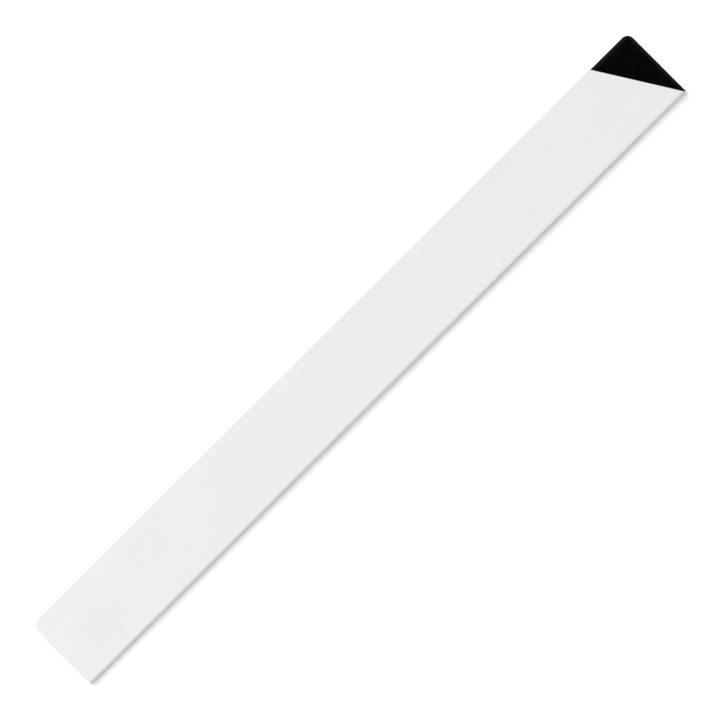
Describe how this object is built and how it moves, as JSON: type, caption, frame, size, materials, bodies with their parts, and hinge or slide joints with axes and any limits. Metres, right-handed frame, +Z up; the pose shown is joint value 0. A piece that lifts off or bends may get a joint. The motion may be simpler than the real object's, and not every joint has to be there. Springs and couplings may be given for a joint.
{
  "type": "knife blade guard",
  "caption": "Folding magnetic guard for a long narrow knife blade: white creased cover, black felt lining, opens like a book, with an angled cut at the handle end that bares a finger corner.",
  "frame": {"origin": "middle of the closed guard's outline, on the outside of the back cover that it lies on", "axes": "+X along the blade towards the knife's handle, +Y across from the spine to the free edges, +Z up through the closed guard towards the cut front half"},
  "size_m": [0.265, 0.0262, 0.0048],
  "materials": {
    "cover": "satin white polypropylene sheet with a fine grain",
    "lining": "black felt",
    "magnet": "matte flexible magnet",
    "tape": "double-sided adhesive tape"
  },
  "bodies": {
    "back_half": {"back_cover": "cover", "back_tape": "tape", "back_magnet": "magnet", "back_felt": "lining", "back_fold": "cover", "back_fold_felt": "lining"},
    "spine_strip": {"spine": "cover", "spine_felt": "lining"},
    "front_half": {"front_cover": "cover", "front_tape": "tape", "front_magnet": "magnet", "front_felt": "lining", "front_fold": "cover", "front_fold_felt": "lining"}
  },
  "joints": [
    {"name": "back_crease", "type": "hinge", "parent": "back_half", "child": "spine_strip", "pos_m": [0, -0.01281, 0.00029], "axis": [1, 0, 0], "range_deg": [0, 90], "deforming": ["back_fold", "back_fold_felt"]},
    {"name": "front_crease", "type": "hinge", "parent": "spine_strip", "child": "front_half", "pos_m": [0, -0.01281, 0.00451], "axis": [1, 0, 0], "range_deg": [0, 90], "deforming": ["front_fold", "front_fold_felt"]}
  ]
}
